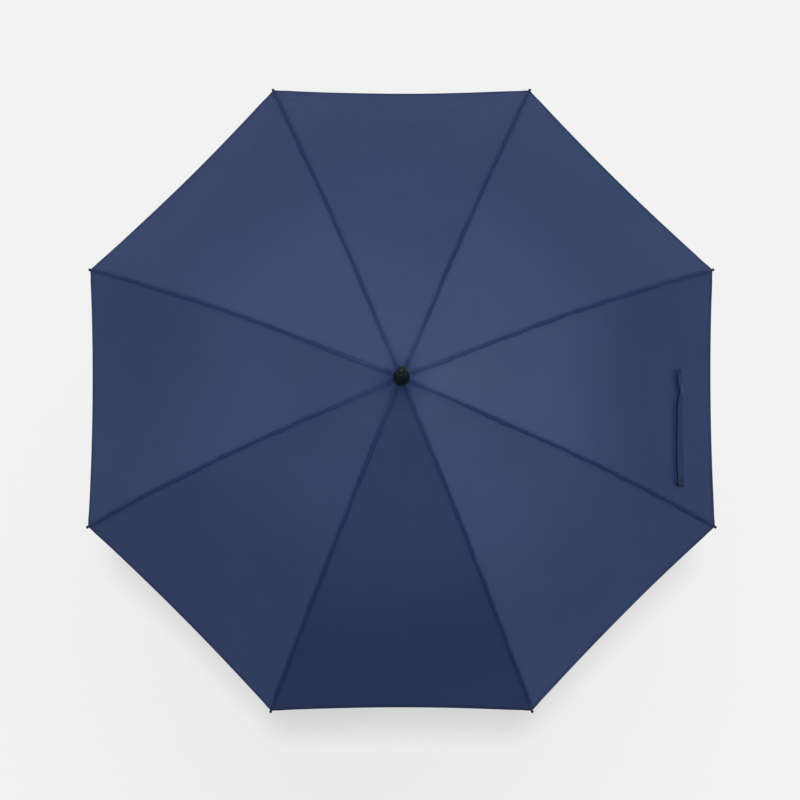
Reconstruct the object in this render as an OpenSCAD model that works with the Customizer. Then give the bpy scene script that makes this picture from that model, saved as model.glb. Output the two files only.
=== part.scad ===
// Stick umbrella with eight ribs, modelled open.
// Millimetres. +Z runs along the shaft towards the ferrule; the origin is the centre of the
// handle's straight grip, on the shaft's axis. Rib 1 lies 22.5 degrees from +X.

/* [Canopy and ribs] */
// Length of a rib along its curve, from the crown's pivot to its end
rib_len = 584; // [560:2:600]
// Slope below level at the crown's end of a rib, in degrees
slope_start = 7; // [5:0.5:9]
// Slope below level at the outer end of a rib, in degrees
slope_end = 46; // [42:1:48]
// Height of the crown's pivot ring above the middle of the grip
crown_z = 690; // [680:1:720]
// Fabric thickness of the solid canopy
fabric_t = 0.6; // [0.5:0.1:1]
// How far the hem's middle is drawn up the slope between two ribs
hem_draw = 3.5; // [2:0.5:6]
// How far the fabric dips between two ribs at the hem
hem_dip = 4; // [2:0.5:6]
// Extra dip half way down the canopy
belly_dip = 4; // [2:0.5:6]

/* [Frame] */
// Width of a rib's channel
rib_w = 3.2; // [3:0.1:3.6]
// Height of a rib's channel
rib_h = 2.4; // [2.2:0.1:2.6]
// Width and height of a stretcher's channel
stretcher_w = 2.4; // [2.2:0.1:2.6]
// Sheet thickness of ribs and stretchers
sheet_t = 0.6; // [0.5:0.05:0.7]
// Outer radius of the shaft tube
shaft_r = 5; // [4.8:0.1:5.2]
// Wall of the shaft tube
shaft_t = 0.6; // [0.5:0.1:0.8]
// Radius of the circle that the ribs and stretchers hinge on
pivot_r = 10; // [9.8:0.1:10.4]
// Outer radius of the crown's and the runner's flange
flange_r = 13; // [12.6:0.1:13.4]
// Length of the runner's sleeve below its pivot ring
runner_len = 48; // [46:1:52]

/* [Ferrule and cap] */
// Radius of the ferrule
ferrule_r = 7.2; // [6.8:0.1:7.6]
// Height of the ferrule's end above the crown's pivot ring
ferrule_top = 92; // [80:1:100]
// Radius of the cap's lowest ring
cap_r = 12.5; // [12:0.5:13.5]

/* [Handle] */
// Radius of the handle
handle_r = 12; // [11:0.5:12.5]
// Radius of the crook, to the middle of the handle
crook_r = 36; // [34:1:40]
// Half the length of the straight grip
grip_half = 35; // [30:1:40]

/* [Closing strap] */
// Length of the strap from its swing axis to its free end
strap_len = 166; // [150:2:176]
// Width of the strap
strap_w = 16; // [12:1:18]
// Share of a rib's length at which the strap is sewn on
strap_share = 0.85; // [0.84:0.005:0.88]
// Place of the swing axis along the gore, from its middle
strap_y = 24; // [20:1:34]

/* [Hidden] */
$fn = 48;
RIBS = 8;
GORE = 360 / RIBS;
STEPS = 50;
JOINT_STEP = 24;
step_len = rib_len / STEPS;
FINGERS = [for (i = [1:RIBS]) i];

navy = [0.13, 0.18, 0.32];
steel = [0.62, 0.63, 0.65];
black = [0.07, 0.07, 0.08];

// Clearances
fabric_gap = 1;      // fabric above the ribs, so that its flat facets stay clear of them
seam_gap = 0.25;     // each gore's edge from its rib's mid-plane
lug_gap = 0.2;       // between the leaves of a rib joint
pin_gap = 0.05;      // round a rivet
slot_gap = 0.3;      // each side of an arm in its slot
run_gap = 0.15;      // between runner and shaft

// Small parts of the frame
arm_t = 2;           // flattened end of a rib or stretcher
eye_r = 1.9;
wire_r = 0.6;
wire_hole_r = 0.75;
rivet_r = 0.75;
rivet_head_r = 1.4;
rivet_head_t = 0.5;
bracket_drop = 2.7;  // a stretcher's pivot below the middle of its rib
joint_cut = 3;       // each rib stretch ends this far from the joint
flange_half = 4;
collar_r = 8.5;
collar_top = 6.8;
slot_in = 7.4;       // inner end of a crown or runner slot
groove_half = 0.65;
groove_in = 9.35;
sleeve_r = 8.5;

// A rib's curve: its slope turns smoothly from slope_start to slope_end.
// spot(k) is the place k steps along, [out from the shaft, up from the pivot ring].
function smooth(t) = let (c = max(0, min(1, t))) c * c * (3 - 2 * c);
function slope(k) = slope_start + (slope_end - slope_start) * smooth(k / STEPS);
function run(k) = step_len * [cos(slope(k + 0.5)), -sin(slope(k + 0.5))];
RIB_LINE = [for (k = 0, p = [pivot_r, 0]; k <= STEPS; p = p + run(k), k = k + 1) p];
function spot(k) = let (i = max(0, min(STEPS - 1, floor(k))))
    RIB_LINE[i] + (k - i) * (RIB_LINE[i + 1] - RIB_LINE[i]);
function up(k) = [sin(slope(k)), cos(slope(k))];
function along(k) = [cos(slope(k)), -sin(slope(k))];
function off(k, h) = spot(k) + h * up(k);
function stations(a, b) = concat([a], [for (k = [floor(a) + 1 : ceil(b) - 1]) k], [b]);
function rib_azimuth(i) = (i - 0.5) * GORE;

// The stretcher joint under the rib, and the isosceles linkage that hangs from it:
// crown pivot to joint and joint to runner pivot are the same length.
joint = off(JOINT_STEP, -bracket_drop);
link_len = norm(joint - [pivot_r, 0]);
open_angle = atan2(joint[0] - pivot_r, -joint[1]);
closed_angle = 3;
runner_drop = 2 * link_len * cos(open_angle);
closed_drop = 2 * link_len * cos(closed_angle);
runner_z = crown_z - runner_drop;
closed_runner_z = crown_z - closed_drop;
bracket_back = 9 / step_len;
cut = joint_cut / step_len;
lug_t = 1.2;
ear_in = lug_t / 2 + lug_gap;
ear_t = sheet_t;
fork_in = rib_w / 2 + 0.15;
fork_t = 0.6;
fork_len = 6;

// Rib tips
tip_r = 2.4;
tip_back = 6;
tip_out = 2.5;

// Heights of the handle's parts
grip_top = grip_half + 5;
collar_len = 12;
shaft_bottom = -20;
ferrule_socket = 26;
cap_top = 16;
handle_pin_z = 20;
handle_pin_r = 1.2;

// Spring catches: a nose that stands out of the shaft, on a leaf inside it
nose_out = 8.4;
leaf_in = 2.9;
leaf_out = 3.7;
catch_half = 1;
leaf_len = 34;
window_low = 44;
window_high = 34;
top_nose_z = runner_z - runner_len - 0.3;
top_nose_len = 16;
bottom_nose_z = closed_runner_z - window_low + 0.5;
bottom_nose_len = 8;
stop_pin_r = 1;
stop_pin_z = runner_z + flange_half + 0.3 + stop_pin_r;

// Strap
strap_t = 1.2;
patch_t = 0.8;
patch_lift = 0.4;
snap_r = 3.2;
snap_t = 1.4;
strap_k = strap_share * STEPS;

module at_rib(i) {
    translate([0, 0, crown_z]) rotate([0, 0, rib_azimuth(i)]) children();
}

// Stands a flat outline, drawn as [out, up], in the rib's plane with thickness t
module leaf(t) {
    rotate([90, 0, 0]) linear_extrude(t, center = true) children();
}

// A disc or hole across the rib's plane at p
module across(p, r, t) {
    translate([p[0], 0, p[1]]) rotate([90, 0, 0]) cylinder(r = r, h = t, center = true);
}

// The band of a rib from a to b steps, between heights low and high
module band(a, b, low, high) {
    ks = stations(a, b);
    n = len(ks);
    polygon(concat(
        [for (k = ks) off(k, high)],
        [for (j = [n - 1 : -1 : 0]) off(ks[j], low)]));
}

// A channel of folded sheet, open underneath
module rib_channel(a, b) {
    difference() {
        leaf(rib_w) band(a, b, -rib_h / 2, rib_h / 2);
        leaf(rib_w - 2 * sheet_t) band(a - 0.1, b + 0.1, -rib_h, rib_h / 2 - sheet_t);
    }
}

// The leaf that reaches from a rib's end down to the joint. side is -1 on the crown's side.
module bracket(side, t) {
    far = JOINT_STEP + side * bracket_back;
    near = JOINT_STEP + side * cut;
    roof = rib_h / 2 - sheet_t / 2;
    leaf(t) polygon([
        off(far, roof), off(near, roof),
        joint - side * eye_r * along(JOINT_STEP),
        joint - eye_r * up(JOINT_STEP),
        off(far, -rib_h / 2)]);
    across(joint, eye_r, t);
}

module rib(i) {
    color(steel) at_rib(i) {
        difference() {
            union() {
                rib_channel(1, JOINT_STEP - cut);
                leaf(arm_t) band(0, 1.1, -rib_h / 2, rib_h / 2);
                across(RIB_LINE[0], eye_r, arm_t);
                bracket(-1, lug_t);
            }
            across(RIB_LINE[0], wire_hole_r, 2 * arm_t);
            across(joint, rivet_r + pin_gap, 2 * arm_t);
        }
    }
}

module rib_outer(i) {
    color(steel) at_rib(i) {
        difference() {
            union() {
                rib_channel(JOINT_STEP + cut, STEPS);
                for (side = [-1, 1])
                    translate([0, side * (ear_in + ear_t / 2), 0]) bracket(1, ear_t);
            }
            across(joint, rivet_r + pin_gap, 3 * arm_t);
        }
    }
}

module rib_tip(i) {
    end = spot(STEPS);
    color(black) at_rib(i) translate([end[0], 0, end[1]]) rotate([0, slope(STEPS - 0.5), 0]) {
        difference() {
            translate([-tip_back, 0, 0]) rotate([0, 90, 0]) cylinder(r = tip_r, h = tip_back + tip_out);
            translate([-2 * tip_back, -rib_w / 2 - 0.05, -rib_h / 2 - 0.05])
                cube([2 * tip_back, rib_w + 0.1, rib_h + 0.1]);
        }
        translate([tip_out, 0, 0]) sphere(r = tip_r);
    }
}

// Drawn along +X from the joint, then turned towards the runner
module stretcher(i) {
    body_start = fork_len;
    arm_start = link_len - 10;
    fork_half = fork_in + fork_t;
    color(steel) at_rib(i) translate([joint[0], 0, joint[1]]) rotate([0, 90 + open_angle, 0]) {
        difference() {
            translate([body_start, -stretcher_w / 2, -stretcher_w / 2])
                cube([arm_start + 2 - body_start, stretcher_w, stretcher_w]);
            translate([body_start + 4, -stretcher_w / 2 + sheet_t, -stretcher_w])
                cube([arm_start - body_start - 6, stretcher_w - 2 * sheet_t, stretcher_w * 1.5 - sheet_t]);
        }
        translate([body_start, -fork_half, -stretcher_w / 2]) cube([3, 2 * fork_half, stretcher_w]);
        for (side = [-1, 1]) {
            translate([0, side * (fork_in + fork_t / 2) - fork_t / 2, -1.5]) cube([fork_len + 3, fork_t, 3]);
            translate([0, side * (fork_in + fork_t / 2), 0]) across([0, 0], eye_r, fork_t);
            translate([0, side * (fork_half + rivet_head_t / 2), 0])
                across([0, 0], rivet_head_r, rivet_head_t);
        }
        across([0, 0], rivet_r, 2 * fork_half);
        difference() {
            union() {
                translate([arm_start, -arm_t / 2, -stretcher_w / 2]) cube([10, arm_t, stretcher_w]);
                across([link_len, 0], eye_r, arm_t);
            }
            across([link_len, 0], wire_hole_r, 2 * arm_t);
        }
    }
}

// A gore's fabric, drawn for the gore whose middle is at azimuth 0.
// t runs from -1 at one seam to 1 at the other; h is the height above the ribs' middle.
GORE_K0 = 0.1;
GORE_K1 = STEPS - 0.55;
K_CELLS = 16;
T_CELLS = 6;
apex_lift = 4;
fabric_h = rib_h / 2 + fabric_gap;
function lifted(k, h) = h + apex_lift * (1 - smooth(k / 4));
function dip(k) = let (u = k / STEPS) hem_dip * u + belly_dip * 4 * u * (1 - u);
function gore_spot(k, t, h) = let (
        p = off(k, lifted(k, h) - dip(k) * (1 - t * t)),
        side = p[0] * sin(GORE / 2) - seam_gap / cos(GORE / 2))
    [p[0] * cos(GORE / 2), t * side, p[1]];
function gore_k(v, t) = GORE_K0 + v * (GORE_K1 - hem_draw / step_len * (1 - t * t) - GORE_K0);

module canopy_panel(i) {
    row = T_CELLS + 1;
    count = row * (K_CELLS + 1);
    points = [for (h = [fabric_h, fabric_h + fabric_t]) for (a = [0:K_CELLS]) for (b = [0:T_CELLS])
        let (t = 2 * b / T_CELLS - 1) gore_spot(gore_k(a / K_CELLS, t), t, h)];
    under = [for (a = [0:K_CELLS - 1]) for (b = [0:T_CELLS - 1])
        let (q = a * row + b) each [[q, q + 1, q + row], [q + 1, q + row + 1, q + row]]];
    over = [for (f = under) [f[2] + count, f[1] + count, f[0] + count]];
    rim = concat(
        [for (b = [0:T_CELLS]) b],
        [for (a = [1:K_CELLS]) a * row + T_CELLS],
        [for (b = [T_CELLS - 1:-1:0]) K_CELLS * row + b],
        [for (a = [K_CELLS - 1:-1:1]) a * row]);
    m = len(rim);
    walls = [for (j = [0:m - 1]) let (p = rim[j], q = rim[(j + 1) % m])
        each [[q, p, p + count], [q, p + count, q + count]]];
    color(navy) translate([0, 0, crown_z]) rotate([0, 0, i * GORE])
        polyhedron(points, concat(under, over, walls));
}

module shaft_tube() {
    color(steel) difference() {
        translate([0, 0, shaft_bottom]) cylinder(r = shaft_r, h = crown_z + ferrule_socket - shaft_bottom);
        translate([0, 0, shaft_bottom - 1])
            cylinder(r = shaft_r - shaft_t, h = crown_z + ferrule_socket - shaft_bottom + 2);
        catch_slot(top_nose_z - top_nose_len, top_nose_len);
        catch_slot(bottom_nose_z, bottom_nose_len);
        translate([0, 0, handle_pin_z]) rotate([90, 0, 0]) cylinder(r = handle_pin_r, h = 30, center = true);
        translate([0, 0, stop_pin_z]) rotate([90, 0, 0]) cylinder(r = stop_pin_r, h = 30, center = true);
    }
}

module catch_slot(z, length) {
    width = 2 * (catch_half + 0.25);
    translate([0, -width / 2, z - 0.6]) cube([nose_out + 1, width, length + 1.2]);
}

// Slots for the arms and a groove for the wire ring, cut into a flange at height 0
module flange_cuts() {
    slot_w = arm_t + 2 * slot_gap;
    for (i = FINGERS) rotate([0, 0, rib_azimuth(i)])
        translate([slot_in, -slot_w / 2, -2 * flange_half]) cube([flange_r, slot_w, 4 * flange_half]);
    difference() {
        cylinder(r = flange_r + 1, h = 2 * groove_half, center = true);
        cylinder(r = groove_in, h = 4 * groove_half, center = true);
    }
}

module crown() {
    color(black) translate([0, 0, crown_z]) difference() {
        union() {
            translate([0, 0, -flange_half]) cylinder(r = flange_r, h = 2 * flange_half);
            translate([0, 0, flange_half]) cylinder(r = collar_r, h = collar_top - flange_half);
        }
        translate([0, 0, -2 * flange_half]) cylinder(r = shaft_r, h = 4 * flange_half);
        flange_cuts();
    }
}

module wire_ring(z) {
    color(steel) translate([0, 0, z]) rotate_extrude() translate([pivot_r, 0]) circle(r = wire_r);
}

module crown_wire() {
    wire_ring(crown_z);
}

// Stepped rings that rise to the ferrule
module canopy_cap() {
    step_r = 10;
    color(black) translate([0, 0, crown_z]) difference() {
        union() {
            translate([0, 0, collar_top]) cylinder(r = cap_r, h = 2.4);
            translate([0, 0, collar_top + 2.4]) cylinder(r1 = cap_r - 0.8, r2 = step_r, h = 1.8);
            translate([0, 0, collar_top + 4.2]) cylinder(r = step_r, h = 2);
            translate([0, 0, collar_top + 6.2])
                cylinder(r1 = step_r - 0.6, r2 = ferrule_r + 0.6, h = cap_top - collar_top - 6.2);
        }
        cylinder(r = shaft_r, h = 2 * cap_top);
    }
}

module ferrule() {
    color(black) translate([0, 0, crown_z]) difference() {
        translate([0, 0, cap_top]) cylinder(r = ferrule_r, h = ferrule_top - 6 - cap_top);
        cylinder(r = shaft_r, h = ferrule_socket);
    }
}

module ferrule_tip() {
    round_r = 3;
    tip_out_r = ferrule_r - 0.6;
    color(black) translate([0, 0, crown_z + ferrule_top - 6]) rotate_extrude() {
        square([tip_out_r, 6 - round_r]);
        square([tip_out_r - round_r, 6]);
        translate([tip_out_r - round_r, 6 - round_r]) intersection() {
            circle(r = round_r);
            square(round_r);
        }
    }
}

module stop_pin() {
    stop_pin_len = 13.2;
    color(steel) translate([0, 0, stop_pin_z]) rotate([90, 0, 0])
        cylinder(r = stop_pin_r, h = stop_pin_len, center = true);
}

module handle() {
    hook_rise = 10;
    color(black) difference() {
        union() {
            translate([0, 0, -grip_half]) cylinder(r = handle_r, h = grip_half + grip_top);
            translate([crook_r, 0, -grip_half]) rotate([90, 0, 0]) rotate([0, 0, 180])
                rotate_extrude(angle = 180) translate([crook_r, 0]) circle(r = handle_r);
            translate([2 * crook_r, 0, -grip_half]) cylinder(r = handle_r, h = hook_rise);
            translate([2 * crook_r, 0, hook_rise - grip_half]) sphere(r = handle_r);
        }
        translate([0, 0, shaft_bottom]) cylinder(r = shaft_r, h = grip_top - shaft_bottom + 1);
        translate([0, 0, handle_pin_z]) rotate([90, 0, 0])
            cylinder(r = handle_pin_r, h = 3 * handle_r, center = true);
    }
}

module handle_collar() {
    bead = 1;
    color(steel) translate([0, 0, grip_top]) difference() {
        union() {
            cylinder(r = handle_r, h = collar_len);
            translate([0, 0, 1]) cylinder(r = handle_r + bead, h = 3);
            translate([0, 0, collar_len - 3]) cylinder(r = handle_r + bead, h = 2);
        }
        translate([0, 0, -1]) cylinder(r = shaft_r, h = collar_len + 2);
    }
}

module handle_pin() {
    color(steel) translate([0, 0, handle_pin_z]) rotate([90, 0, 0])
        cylinder(r = handle_pin_r, h = 2 * handle_r - 0.4, center = true);
}

module runner() {
    bead_r = sleeve_r + 1;
    color(black) translate([0, 0, runner_z]) difference() {
        union() {
            translate([0, 0, -flange_half]) cylinder(r = flange_r, h = 2 * flange_half);
            translate([0, 0, -runner_len]) cylinder(r = sleeve_r, h = runner_len);
            translate([0, 0, -runner_len]) cylinder(r = bead_r, h = 3);
            translate([0, 0, -flange_half - 12]) cylinder(r = bead_r, h = 2);
        }
        translate([0, 0, -runner_len - 1]) cylinder(r = shaft_r + run_gap, h = 2 * runner_len);
        flange_cuts();
        translate([0, -2.2, -window_low]) cube([2 * sleeve_r, 4.4, window_low - window_high]);
    }
}

module runner_wire() {
    wire_ring(runner_z);
}

// Flat top that the runner rests on, and a slope that the runner presses in on its way up
module top_catch() {
    z = top_nose_z;
    color(steel) rotate([90, 0, 0]) linear_extrude(2 * catch_half, center = true) polygon([
        [leaf_in, z], [nose_out, z], [nose_out, z - 1], [leaf_out, z - top_nose_len],
        [leaf_out, z - top_nose_len - leaf_len], [leaf_in, z - top_nose_len - leaf_len]]);
}

// Flat underside that holds the runner down by its window, and a slope above it
module bottom_catch() {
    z = bottom_nose_z;
    color(steel) rotate([90, 0, 0]) linear_extrude(2 * catch_half, center = true) polygon([
        [leaf_in, z + bottom_nose_len], [leaf_out, z + bottom_nose_len], [nose_out - 0.4, z + 1],
        [nose_out - 0.4, z], [leaf_out, z], [leaf_out, z - leaf_len], [leaf_in, z - leaf_len]]);
}

// Places its children on the fabric of the gore at azimuth 0, at the strap's swing axis:
// X runs down the slope, Y across the gore and Z out of the fabric.
module at_strap() {
    p = strap_root();
    translate([p[0], strap_y, p[1] + crown_z]) rotate([0, slope(strap_k), 0]) children();
}

// Fabric height across the gore at the strap, from its height at the swing axis
strap_half_width = spot(strap_k)[0] * sin(GORE / 2);
function strap_height(y) =
    let (t = (y + strap_y) / strap_half_width, t0 = strap_y / strap_half_width)
    dip(strap_k) * (t * t - t0 * t0);
function strap_root() = let (
        t0 = strap_y / strap_half_width,
        p = off(strap_k, fabric_h + fabric_t - dip(strap_k) * (1 - t0 * t0)))
    [p[0] * cos(GORE / 2), p[1]];

// A strip across the gore from y1 to y2, from height low to height high above the fabric
module strip(y1, y2, low, high, width) {
    cells = 8;
    ys = [for (j = [0:cells]) y1 + (y2 - y1) * j / cells];
    rotate([90, 0, 90]) linear_extrude(width, center = true) polygon(concat(
        [for (y = ys) [y, strap_height(y) + high]],
        [for (j = [cells:-1:0]) [ys[j], strap_height(ys[j]) + low]]));
}

module strap_patch() {
    near = -7;
    far = 13;
    wide = strap_w / 2;
    narrow = wide - 1;
    color(navy) at_strap() intersection() {
        strip(near, far, patch_lift, patch_lift + patch_t, 30);
        linear_extrude(20, center = true)
            polygon([[-wide, far], [wide, far], [narrow, near], [-narrow, near]]);
    }
}

module strap() {
    low = patch_lift + patch_t + 0.3;
    root_end = 6;
    end_r = strap_w / 2;
    color(navy) at_strap() intersection() {
        strip(-strap_len, root_end, low, low + strap_t, 2 * strap_w);
        translate([0, end_r - strap_len, -20]) union() {
            translate([-end_r, 0, 0]) cube([strap_w, strap_len - end_r + root_end, 40]);
            cylinder(r = end_r, h = 40);
        }
    }
}

// Press stud's cap near the strap's free end, tilted with the strap under it
module strap_snap() {
    y = 9 - strap_len;
    z = strap_height(y) + patch_lift + patch_t + 0.33 + strap_t;
    tilt = atan(strap_height(y + 0.5) - strap_height(y - 0.5));
    color(steel) at_strap() translate([0, y, z]) rotate([tilt, 0, 0]) cylinder(r = snap_r, h = snap_t);
}

for (i = FINGERS) {
    rib(i);
    rib_outer(i);
    rib_tip(i);
    stretcher(i);
    canopy_panel(i);
}
shaft_tube();
crown();
crown_wire();
canopy_cap();
ferrule();
ferrule_tip();
stop_pin();
handle();
handle_collar();
handle_pin();
runner();
runner_wire();
top_catch();
bottom_catch();
strap_patch();
strap();
strap_snap();
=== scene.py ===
import math

import bpy
import numpy as np
from mathutils import Matrix, Vector


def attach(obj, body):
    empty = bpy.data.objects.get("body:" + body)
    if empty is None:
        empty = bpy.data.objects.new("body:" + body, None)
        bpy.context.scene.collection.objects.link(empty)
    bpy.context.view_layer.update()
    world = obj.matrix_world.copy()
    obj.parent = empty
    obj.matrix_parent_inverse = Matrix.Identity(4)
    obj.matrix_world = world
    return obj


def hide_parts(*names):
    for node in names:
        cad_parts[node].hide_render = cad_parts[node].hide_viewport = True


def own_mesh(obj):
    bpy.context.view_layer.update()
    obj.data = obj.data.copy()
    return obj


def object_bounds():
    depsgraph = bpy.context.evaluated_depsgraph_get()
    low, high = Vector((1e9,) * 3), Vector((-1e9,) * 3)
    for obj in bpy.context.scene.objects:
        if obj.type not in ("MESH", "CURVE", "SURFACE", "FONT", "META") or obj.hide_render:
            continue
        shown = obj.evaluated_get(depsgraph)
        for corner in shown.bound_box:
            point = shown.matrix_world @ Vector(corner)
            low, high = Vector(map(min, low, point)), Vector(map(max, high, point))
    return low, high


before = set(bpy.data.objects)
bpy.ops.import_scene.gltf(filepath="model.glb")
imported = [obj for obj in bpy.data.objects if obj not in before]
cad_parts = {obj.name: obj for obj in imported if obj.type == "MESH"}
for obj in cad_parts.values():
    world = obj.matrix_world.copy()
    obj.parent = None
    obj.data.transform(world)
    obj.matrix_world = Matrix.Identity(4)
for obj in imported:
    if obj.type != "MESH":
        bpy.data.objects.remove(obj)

CAD_BOX = [list(corner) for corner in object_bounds()]

# ---------------------------------------------------------------- shape values, in millimetres
RIBS = 8
GORE = 360 / RIBS
STEPS = 50
JOINT_K = 24
RIB_LEN = 584
SLOPE_START, SLOPE_END = 7, 46
CROWN_Z = 690
PIVOT_R = 10
FABRIC_H = 2.2
APEX_LIFT = 4
HEM_DRAW, HEM_DIP, BELLY_DIP = 3.5, 4, 4
GORE_K0, GORE_K1 = 0.1, STEPS - 0.16
VALLEY, PUCKER, PUCKER_SLOW = 0.3, 0.2, 0.25
STEP = RIB_LEN / STEPS
HALF = math.radians(GORE / 2)
MM = 0.001
CROWN_PLACE = Matrix.Translation((0, 0, CROWN_Z * MM))


def smooth(t):
    c = np.clip(t, 0, 1)
    return c * c * (3 - 2 * c)


def slope(k):
    """The rib's angle below level in radians, k steps along."""
    bend = smooth(np.asarray(k, float) / STEPS)
    return np.radians(SLOPE_START + (SLOPE_END - SLOPE_START) * bend)


def rib_line():
    """The rib's curve as three lists: steps along it, distance from the shaft, height over the pivots."""
    fine = 16
    ks = np.arange(STEPS * fine + 1) / fine
    angle = slope((ks[:-1] + ks[1:]) / 2)
    out = PIVOT_R + np.concatenate([[0], np.cumsum(np.cos(angle))]) * STEP / fine
    up = -np.concatenate([[0], np.cumsum(np.sin(angle))]) * STEP / fine
    return ks, out, up


LINE_K, LINE_OUT, LINE_UP = rib_line()


def off(k, h):
    """The point h above the rib's middle, k steps along: (distance from the shaft, height)."""
    s = slope(k)
    out = np.interp(k, LINE_K, LINE_OUT) + h * np.sin(s)
    up = np.interp(k, LINE_K, LINE_UP) + h * np.cos(s)
    return out, up


def rib_azimuth(i):
    return math.radians((i - 0.5) * GORE)


def rib_body(rib, outer):
    """The body that carries one stretch of a rib, named as in the frame."""
    return f"rib_outer_{rib}" if outer else f"rib_{rib}"


def wobble(x, seed, pitch):
    """Smooth noise from -1 to 1 along x, with about one bump in every two pitches."""
    size, start = 512, 64
    table = np.random.default_rng(seed).uniform(-1, 1, size)
    u = np.asarray(x, float) / pitch + start
    i = np.floor(u).astype(int)
    f = smooth(u - i)
    return table[i % size] * (1 - f) + table[(i + 1) % size] * f


# ---------------------------------------------------------------- mesh building
class Mesh:
    """Vertices and faces in millimetres, with a weave direction and a tone for each vertex."""

    def __init__(self):
        self.points, self.weave, self.tone = [], [], []
        self.faces, self.slots = [], []
        self.count = 0

    def add(self, points, faces, slot=0, weave=None, tone=1.0):
        points = np.asarray(points, float).reshape(-1, 3)
        n = len(points)
        self.points.append(points)
        weave = points[:, :2] * MM if weave is None else np.asarray(weave, float).reshape(-1, 2)
        self.weave.append(weave)
        self.tone.append(np.broadcast_to(np.asarray(tone, float).ravel(), (n,)).copy())
        self.faces += [[v + self.count for v in face] for face in faces]
        self.slots += [slot] * len(faces)
        self.count += n

    def grid(self, points, slot=0, weave=None, tone=1.0, close=False, flip=False):
        """A grid of rows by columns. close joins the last column to the first."""
        rows, cols = points.shape[:2]
        faces = []
        for a in range(rows - 1):
            for b in range(cols if close else cols - 1):
                c = (b + 1) % cols
                quad = [a * cols + b, a * cols + c, (a + 1) * cols + c, (a + 1) * cols + b]
                faces.append(quad[::-1] if flip else quad)
        self.add(points, faces, slot, weave, tone)

    def tube(self, rings, slot=0, tone=1.0, weave=None):
        """A closed solid from rings of points, with both ends shut by a fan."""
        rings = np.asarray(rings, float)
        rows, cols = rings.shape[:2]
        self.grid(rings, slot, weave, tone, close=True)
        base = self.count - rows * cols
        for row, turn in ((0, 1), (rows - 1, -1)):
            ring = [base + row * cols + c for c in range(cols)]
            self.faces.append(ring[::-turn] if turn > 0 else ring)
            self.slots.append(slot)

    def object(self, name, materials, body, matrix=None):
        """The finished object, smooth shaded, riding the given body."""
        mesh = bpy.data.meshes.new(name)
        points = np.concatenate(self.points) * MM
        if matrix is not None:
            m = np.array(matrix, float)
            points = points @ m[:3, :3].T + m[:3, 3]
        mesh.from_pydata(points.tolist(), [], self.faces)
        mesh.polygons.foreach_set("material_index", self.slots)
        mesh.polygons.foreach_set("use_smooth", [True] * len(self.faces))
        weave = mesh.attributes.new("weave", "FLOAT_VECTOR", "POINT")
        threads = np.concatenate(self.weave)
        vectors = np.column_stack([threads, np.zeros(len(threads))])
        weave.data.foreach_set("vector", vectors.ravel())
        tone = mesh.attributes.new("tone", "FLOAT", "POINT")
        tone.data.foreach_set("value", np.concatenate(self.tone))
        for material in materials:
            mesh.materials.append(material)
        mesh.validate()
        obj = bpy.data.objects.new(name, mesh)
        bpy.context.scene.collection.objects.link(obj)
        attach(obj, body)
        return obj


def lathe(mesh, profile, sides=72, slot=0, bevel=0.25):
    """Turns a profile of (radius, height) round Z. Its corners are rounded by bevel, to catch the light."""
    pts = [Vector(p) for p in profile]
    line = [pts[0]]
    for before, here, after in zip(pts, pts[1:], pts[2:]):
        a, b = before - here, after - here
        cut = min(bevel, a.length * 0.4, b.length * 0.4)
        start, end = here + a.normalized() * cut, here + b.normalized() * cut
        for t in (0, 0.5, 1):
            line.append(start * (1 - t) ** 2 + here * 2 * t * (1 - t) + end * t * t)
    line.append(pts[-1])
    angles = np.arange(sides) * 2 * math.pi / sides
    rings = [[(r * math.cos(a), r * math.sin(a), z) for a in angles] for r, z in line]
    mesh.grid(np.array(rings), slot, close=True)


def bars(mesh, starts, ends, normals, width, height, slot):
    """Stitches: a small rounded bar from each start to each end, standing on the cloth."""
    for a, b, n in zip(starts, ends, normals):
        along = (b - a) / max(np.linalg.norm(b - a), 1e-9)
        side = np.cross(n, along) * width / 2
        rise = n * height
        inset = (b - a) * 0.22
        near, far = a + inset, b - inset
        points = [a, near + side, far + side, b, far - side, near - side, near + rise, far + rise]
        faces = [[0, 1, 6], [1, 2, 7, 6], [2, 3, 7], [3, 4, 7], [4, 5, 6, 7], [5, 0, 6]]
        mesh.add(points, faces, slot)


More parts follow.
